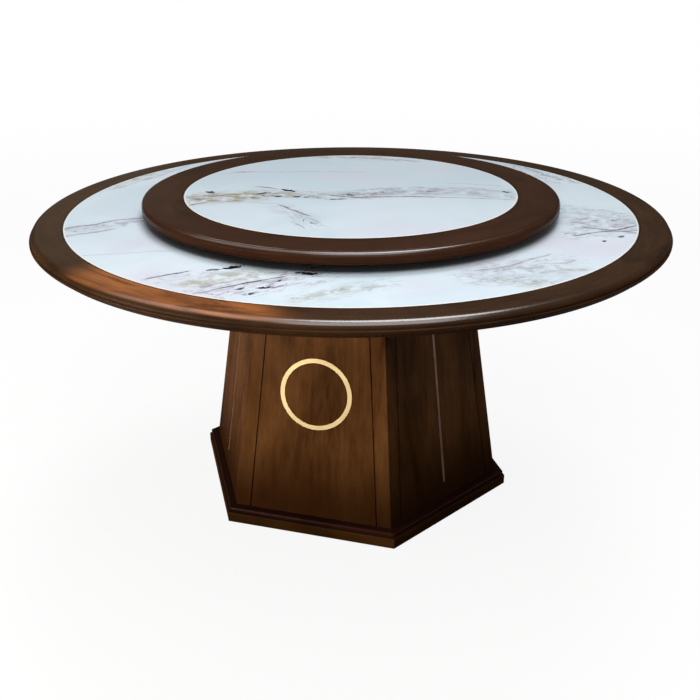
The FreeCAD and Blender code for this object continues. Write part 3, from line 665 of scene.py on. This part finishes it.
finishes = {
    "rim": walnut("walnut_rim", rimLook),
    "susanRim": walnut("walnut_susan_rim", susanRimLook),
    "board": walnut("walnut_boards", boardLook),
    "plinth": walnut("walnut_plinth", plinthLook),
    "moulding": walnut("walnut_moulding", mouldingLook),
    "tableMarble": marble("marble_table", tableStone),
    "susanMarble": marble("marble_susan", susanStone),
    "plywood": plywood("plywood"),
    "softwood": softwood("softwood"),
    "brass": metal("satin_brass", (0.83, 0.71, 0.41), (0.74, 0.59, 0.335), 0.46),
    "bronze": metal("dull_bronze", (0.58, 0.40, 0.31), (0.43, 0.29, 0.22), 0.46, (1, 1, 0.05)),
    "alloy": metal("extruded_alloy", (0.74, 0.75, 0.76), (0.64, 0.65, 0.67), 0.34),
    "steel": metal("zinc_steel", (0.66, 0.66, 0.68), (0.52, 0.53, 0.56), 0.30),
    "insertBrass": metal("turned_brass", (0.72, 0.55, 0.27), (0.58, 0.42, 0.19), 0.34),
    "felt": moulded("pressed_felt", (0.19, 0.15, 0.12), (0.10, 0.08, 0.065), 0.88, 700),
    "rubber": moulded("black_rubber", (0.035, 0.035, 0.036), (0.016, 0.016, 0.017), 0.6),
    "nylon": moulded("white_nylon", (0.80, 0.79, 0.74), (0.70, 0.69, 0.64), 0.42),
}
print("finishes made:", len(finishes))


def wear(piece, finish, body, slot, *replaced):
    piece.data.materials.clear()
    piece.data.materials.append(finishes[finish])
    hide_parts(*replaced)
    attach(piece, body)


topRim = {
    "inner": 721 * mm,          # beside the marble
    "seat": 734 * mm,           # beside the core
    "stone": 15 * mm,           # depth of the marble's seat
    "core": 20 * mm,
    "crown": 22 * mm,           # rounding of the upper edge, an eighth of a circle
    "bevel": (2.5 * mm, 4 * mm),
    "quirk": (4 * mm, 5 * mm),
    "ledge": 1.5 * mm,
    "bandDrop": 19.5 * mm,
    "cove": (17 * mm, 11.5 * mm, 28 * mm),
    "soft": 0.5 * mm,           # easing of the edges that a hand meets
    "fine": 0.25 * mm,          # and of the others
    "steps": 288,
    "stretch": 0.16,
}


def tableRim(sizes):
    # Outline from the top of the inner wall outwards and down: flat, crown, bevel, quirk and ledge,
    # band, cove, underside, and back up beside the core and the marble.
    outer, top = tableRadius, tableTop
    bevelOut, bevelDown = sizes["bevel"]
    quirkIn, quirkDown = sizes["quirk"]
    coveIn, coveDown, coveRadius = sizes["cove"]
    crown, ledge = sizes["crown"], sizes["ledge"]
    bevelTop = outer - quirkIn - bevelOut
    crownEnd = np.array([bevelTop, top - crown * (1 - math.cos(math.radians(45)))])
    crownCentre = (bevelTop - crown * math.sin(math.radians(45)), top - crown)
    crownArc = arcPoints(crownCentre, crown, 90, 45, 9)
    bevelFoot = crownEnd[1] - bevelDown
    ledgeTop = bevelFoot - quirkDown
    bandFoot = top - sizes["bandDrop"]
    coveFoot = bandFoot - coveDown
    coveStart, coveEnd = np.array([outer, bandFoot]), np.array([outer - coveIn, coveFoot])
    half = (coveEnd - coveStart) / 2
    span = np.linalg.norm(half)
    side = np.array([-half[1], half[0]]) / span
    coveCentre = coveStart + half - side * math.sqrt(coveRadius ** 2 - span ** 2)
    startAngle, endAngle = (
        math.degrees(math.atan2(*(end - coveCentre)[::-1])) for end in (coveStart, coveEnd)
    )
    coveArc = arcPoints(coveCentre, coveRadius, startAngle, endAngle, 9)
    shelf = top - sizes["stone"]
    floor = shelf - sizes["core"]
    soft, fine = sizes["soft"], sizes["fine"]
    outline = easedProfile([
        ((sizes["inner"], top), soft),
        *arcCorners(crownArc, 0, soft),
        ((outer - quirkIn, bevelFoot), soft),
        ((outer - quirkIn, ledgeTop), fine),
        ((outer - ledge, ledgeTop), soft),
        ((outer, ledgeTop - ledge), soft),
        *arcCorners(coveArc, soft, soft),
        ((outer - coveIn, floor), fine),
        ((sizes["seat"], floor), fine),
        ((sizes["seat"], shelf), fine),
        ((sizes["inner"], shelf), fine),
    ])
    return turnedRing("table_rim_turned", outline[::-1], sizes["steps"], sizes["stretch"])


wear(tableRim(topRim), "rim", "table", "walnut", "table_rim")

discRim = {
    "inner": 426 * mm,
    "seat": 435 * mm,
    "stone": 12 * mm,
    "core": 14 * mm,
    "step": 1.2 * mm,
    "crown": 13 * mm,
    "bevel": (2.8 * mm, 5 * mm),
    "side": 22 * mm,
    "cut": (1.2 * mm, 2 * mm),
    "soft": 0.4 * mm,
    "fine": 0.2 * mm,
    "steps": 256,
    "stretch": 0.16,
}


def susanRim(sizes):
    # Outline as for the table rim: flat, small step, crown, bevel, side with a V cut, and bottom bead.
    outer, top = susanRadius, susanTop
    bevelOut, bevelDown = sizes["bevel"]
    cutIn, cutHigh = sizes["cut"]
    crown, step = sizes["crown"], sizes["step"]
    bevelTop = outer - bevelOut
    crownArc = arcPoints(
        (bevelTop - crown * math.sin(math.radians(45)), top - step - crown), crown, 90, 45, 8
    )
    sideFoot = top - sizes["side"]
    shelf = top - sizes["stone"]
    floor = shelf - sizes["core"]
    soft, fine = sizes["soft"], sizes["fine"]
    outline = easedProfile([
        ((sizes["inner"], top), soft),
        ((crownArc[0][0], top), soft),
        *arcCorners(crownArc, fine, soft),
        ((outer, crownArc[-1][1] - bevelDown), soft),
        ((outer, sideFoot), fine),
        ((outer - cutIn, sideFoot - cutHigh / 2), fine),
        ((outer, sideFoot - cutHigh), fine),
        ((outer, floor), soft),
        ((sizes["seat"], floor), fine),
        ((sizes["seat"], shelf), fine),
        ((sizes["inner"], shelf), fine),
    ])
    return turnedRing("susan_rim_turned", outline[::-1], sizes["steps"], sizes["stretch"])


wear(susanRim(discRim), "susanRim", "lazy_susan", "walnut", "susan_rim")


stoneEdge = {
    "round": 1.0 * mm,      # polished upper edge
    "lower": 0.3 * mm,      # chamfer of the lower edge
}


def stoneDisc(name, node, edge, steps):
    # A flat disc whose edge is polished to a small round, as wide as its CAD node.
    low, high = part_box(node)
    radius, polished, chamfer = high.x, edge["round"], edge["lower"]
    half = [
        (0, high.z), (radius * 0.5, high.z), (radius - polished - chamfer, high.z),
        *arcPoints((radius - polished, high.z - polished), polished, 90, 0, 5),
        (radius, low.z + chamfer), (radius - chamfer, low.z), (radius * 0.5, low.z), (0, low.z),
    ]
    return turnedDisc(name, np.array(half, float), steps)


tableMarble = stoneDisc("table_marble", "table_stone", stoneEdge, topRim["steps"])
susanMarble = stoneDisc("susan_marble", "susan_stone", stoneEdge, discRim["steps"])
wear(tableMarble, "tableMarble", "table", "marble", "table_stone")
wear(susanMarble, "susanMarble", "lazy_susan", "marble", "susan_stone")
print("top and lazy susan turned")


boards = {
    "ease": 0.6 * mm,       # sanded edges
    "stretch": 0.06,        # how far the grain is drawn out
    "apart": 0.37,          # between the places in the timber that two boards come from
}


def easedCopy(node, number, level=False):
    # A copy of a CAD board with its doubles merged, its flats joined and its edges sanded. The grain
    # runs up the board, or along it where the board lies level.
    piece = nodes[node].copy()
    piece.data = nodes[node].data.copy()
    piece.name = f"{node}_eased"
    piece.parent = None
    scene.collection.objects.link(piece)
    shape = bmesh.new()
    shape.from_mesh(piece.data)
    bmesh.ops.remove_doubles(shape, verts=shape.verts, dist=0.01 * mm)
    bmesh.ops.dissolve_limit(shape, angle_limit=math.radians(1), verts=shape.verts, edges=shape.edges)
    shape.to_mesh(piece.data)
    shape.free()
    points = meshPoints(piece.data)
    middle = (points.max(axis=0) + points.min(axis=0)) / 2
    outwards = math.atan2(middle[1], middle[0])
    across = points[:, 1] * math.cos(outwards) - points[:, 0] * math.sin(outwards)
    into = points[:, 0] * math.cos(outwards) + points[:, 1] * math.sin(outwards)
    along = points[:, 2]
    if level:
        across, along = along, across
    grain = np.column_stack([across + number * boards["apart"], into, along * boards["stretch"] + number])
    storeGrain(piece.data, grain)
    ease = piece.modifiers.new("sanded edges", "BEVEL")
    ease.width = boards["ease"]
    ease.segments = 2
    ease.limit_method = "ANGLE"
    ease.angle_limit = math.radians(30)
    smoothBelow(piece.data, 30)
    flats = piece.modifiers.new("flats shade flat", "WEIGHTED_NORMAL")
    flats.keep_sharp = True
    return piece


boardFinishes = {
    "corner_post": "board", "ring_panel": "board", "strip_panel": "board",
    "plinth_board": "plinth", "plinth_moulding": "moulding",
}
pedestalNodes = [name for name in sorted(nodes) if name.startswith(tuple(boardFinishes))]
for number, name in enumerate(pedestalNodes):
    finish = boardFinishes[name.rsplit("_", 1)[0]]
    wear(easedCopy(name, number, finish != "board"), finish, "table", "walnut", name)
print("pedestal boards eased:", len(pedestalNodes))


plainFinishes = {
    "brass_ring": "brass", "metal_strip": "bronze", "table_core": "plywood", "susan_core": "plywood",
    "bottom_board": "plywood", "middle_brace": "plywood", "top_plate": "plywood",
    "mounting_plate": "plywood", "corner_block": "softwood", "floor_pads": "felt",
    "bearing_feet": "rubber", "bearing_base_ring": "alloy", "bearing_turning_ring": "alloy",
    "ball_cage": "nylon", "bearing_balls": "steel", "top_bolts": "steel", "ring_screws": "steel",
    "threaded_inserts": "insertBrass",
}
for name, thing in nodes.items():
    for start, finish in plainFinishes.items():
        if name.startswith(start):
            thing.data.materials.clear()
            thing.data.materials.append(finishes[finish])
            smoothBelow(thing.data, 30)


studio = {
    "reach": 60,                # half the width of the floor, in metres
    "floor": 0.28,              # how much light the floor throws back on the table
    "floorInPolish": 0.09,      # the same, as polished wood and metal show it
    "floorWhite": 0.90,         # share of plain white in the floor as the camera sees it
    "allWhite": (1.5, 7),       # it rises to all white between these distances
    "sky": 0.18,                # how strongly the surroundings light the table
    "wall": 0.18,               # white in what polished wood and metal show of the wall
    "leftWall": 0.10,           # and higher up on the left
    "ceiling": 0.03,            # and above that
    "behind": 1.0,              # plain light from low behind the table
    "lowTint": (1.0, 0.80, 0.58),
    "lowDim": 0.45,             # how much darker it is low down
    "sideDim": 0.85,            # and by how much more at the sides
}


def lookedAt(paint):
    # 1 for what the camera sees, straight or through glass
    seen, through = (
        paint.node("ShaderNodeLightPath", output=f"Is {kind} Ray") for kind in ("Camera", "Transmission")
    )
    return seen.sum("MAXIMUM", seen, through)


def floorPaint():
    paint = Paint("studio_floor")
    seen = lookedAt(paint)
    polished = paint.node("ShaderNodeLightPath", output="Is Glossy Ray")
    unseen = paint.blend(polished, (studio["floor"],) * 3, (studio["floorInPolish"],) * 3)
    plain = paint.node("ShaderNodeBsdfDiffuse", inputs={
        "Color": paint.blend(seen, unseen, (0.98, 0.98, 0.98)),
    })
    white = paint.node("ShaderNodeEmission", inputs={"Color": (1, 1, 1, 1), "Strength": 1.0})
    # far off it is all white, as the wall is
    far = paint.rise(paint.vector("LENGTH", paint.place(), output="Value"), *studio["allWhite"])
    share = seen * (studio["floorWhite"] + far * (1 - studio["floorWhite"]))
    return paint.surface(paint.node("ShaderNodeMixShader", inputs={0: share, 1: plain, 2: white}))


floor = meshObject(
    "studio_floor_sheet",
    [(x * studio["reach"], y * studio["reach"], 0) for x, y in ((-1, -1), (1, -1), (1, 1), (-1, 1))],
    [(0, 1, 2, 3)],
)
floor.data.materials.append(floorPaint())

scene.world = bpy.data.worlds.new("studio")
sky = Paint(scene.world)
direction = sky.node("ShaderNodeTexCoord", output="Generated")
toRight, toBack, height = (
    sky.node("ShaderNodeSeparateXYZ", inputs={"Vector": direction}, output=axis) for axis in "XYZ"
)
polished = sky.node("ShaderNodeLightPath", output="Is Glossy Ray")
low = sky.rise(height, 0.20, 0.02)
sides = sky.rise(abs(toRight + 0.12), 0.15, 0.40)
dimmed = (1 - low * studio["lowDim"]) * (1 - low * sides * studio["sideDim"])
behind = sky.rise(height, 0.45, 0.15) * sky.rise(toBack, 0.75, 0.95)
# polished wood and metal show a plain wall low down, more of it on the left, and a dim ceiling above it
leftWall = sky.rise(height, 0.50, 0.30) * sky.rise(abs(toRight + 0.34), 0.20, 0.10) * (1 - low)
ceiling = studio["ceiling"]
inPolish = ceiling + low * (studio["wall"] - ceiling) + leftWall * (studio["leftWall"] - ceiling)
plainly = (studio["sky"] + behind * studio["behind"]) * (1 - polished)
strength = (plainly + polished * inPolish) * dimmed
seen = lookedAt(sky)
sky.surface(
    sky.node("ShaderNodeBackground", inputs={
        "Color": sky.blend((low + polished * (1 - low)) * (1 - seen), (1, 1, 1), studio["lowTint"]),
        "Strength": strength + seen * (1 - strength),
    }),
    "ShaderNodeOutputWorld",
)


def lamp(name, kind, at, aim, power, colour):
    light = bpy.data.lights.new(name, kind)
    light.energy = power
    light.color = colour
    holder = bpy.data.objects.new(name, light)
    scene.collection.objects.link(holder)
    holder.location = at
    holder.rotation_euler = (Vector(aim) - Vector(at)).to_track_quat("-Z", "Y").to_euler()
    holder.visible_camera = False
    return light


window = {
    "round": 76,            # degrees round the table, from +X
    "above": 62,            # degrees above level
    "wide": 26,             # how wide it looks, in degrees
    "power": 1.3,
    "colour": (0.98, 0.99, 1.0),
}
around, above = math.radians(window["round"]), math.radians(window["above"])
windowAt = (math.cos(around) * math.cos(above), math.sin(around) * math.cos(above), math.sin(above))
daylight = lamp("window behind", "SUN", windowAt, (0, 0, 0), window["power"], window["colour"])
daylight.angle = math.radians(window["wide"])

# softboxes overhead, high on the left and low down on the left, and a white card that the metal
# strips show
areaLamps = {
    "overhead": {
        "at": (0.26, -1.40, 3.16), "aim": (0.26, -0.79, 0.75), "size": (2.0, 2.2), "power": 47,
        "colour": (1.0, 0.995, 0.99),
    },
    "high left": {
        "at": (-1.1, 0.5, 3.0), "aim": (-0.6, 0, 0.76), "size": (2.0, 2.0), "power": 13,
        "colour": (1.0, 0.995, 0.99),
    },
    "low left": {
        "at": (-2.6, -1.7, 0.45), "aim": (0, 0, 0.42), "size": (2.6, 0.80), "power": 86,
        "colour": (1.0, 0.91, 0.79),
    },
    "card beside the pedestal": {
        "at": (1.30, -0.22, 0.10), "aim": (0.35, -0.30, 0.40), "size": (0.9, 0.6), "power": 0.85,
        "colour": (1.0, 0.95, 0.92),
    },
}
for name, look in areaLamps.items():
    light = lamp(name, "AREA", look["at"], look["aim"], look["power"], look["colour"])
    light.shape = "RECTANGLE"
    light.size, light.size_y = look["size"]

view = {
    "at": (0.0, -2.3514, 1.3905),
    "down": 23.7394,          # degrees below level
    "roll": 0.084,
    "turn": 0.028,
    "lens": 47.615,
}
cameraData = bpy.data.cameras.new("front view")
cameraData.lens = view["lens"]
cameraData.sensor_width = 36
cameraData.clip_end = 200
camera = bpy.data.objects.new("front view", cameraData)
scene.collection.objects.link(camera)
camera.location = view["at"]
camera.rotation_euler = (
    math.radians(90 - view["down"]), math.radians(view["roll"]), math.radians(view["turn"])
)
scene.camera = camera
scene.view_settings.view_transform = "Standard"
print("studio set up")
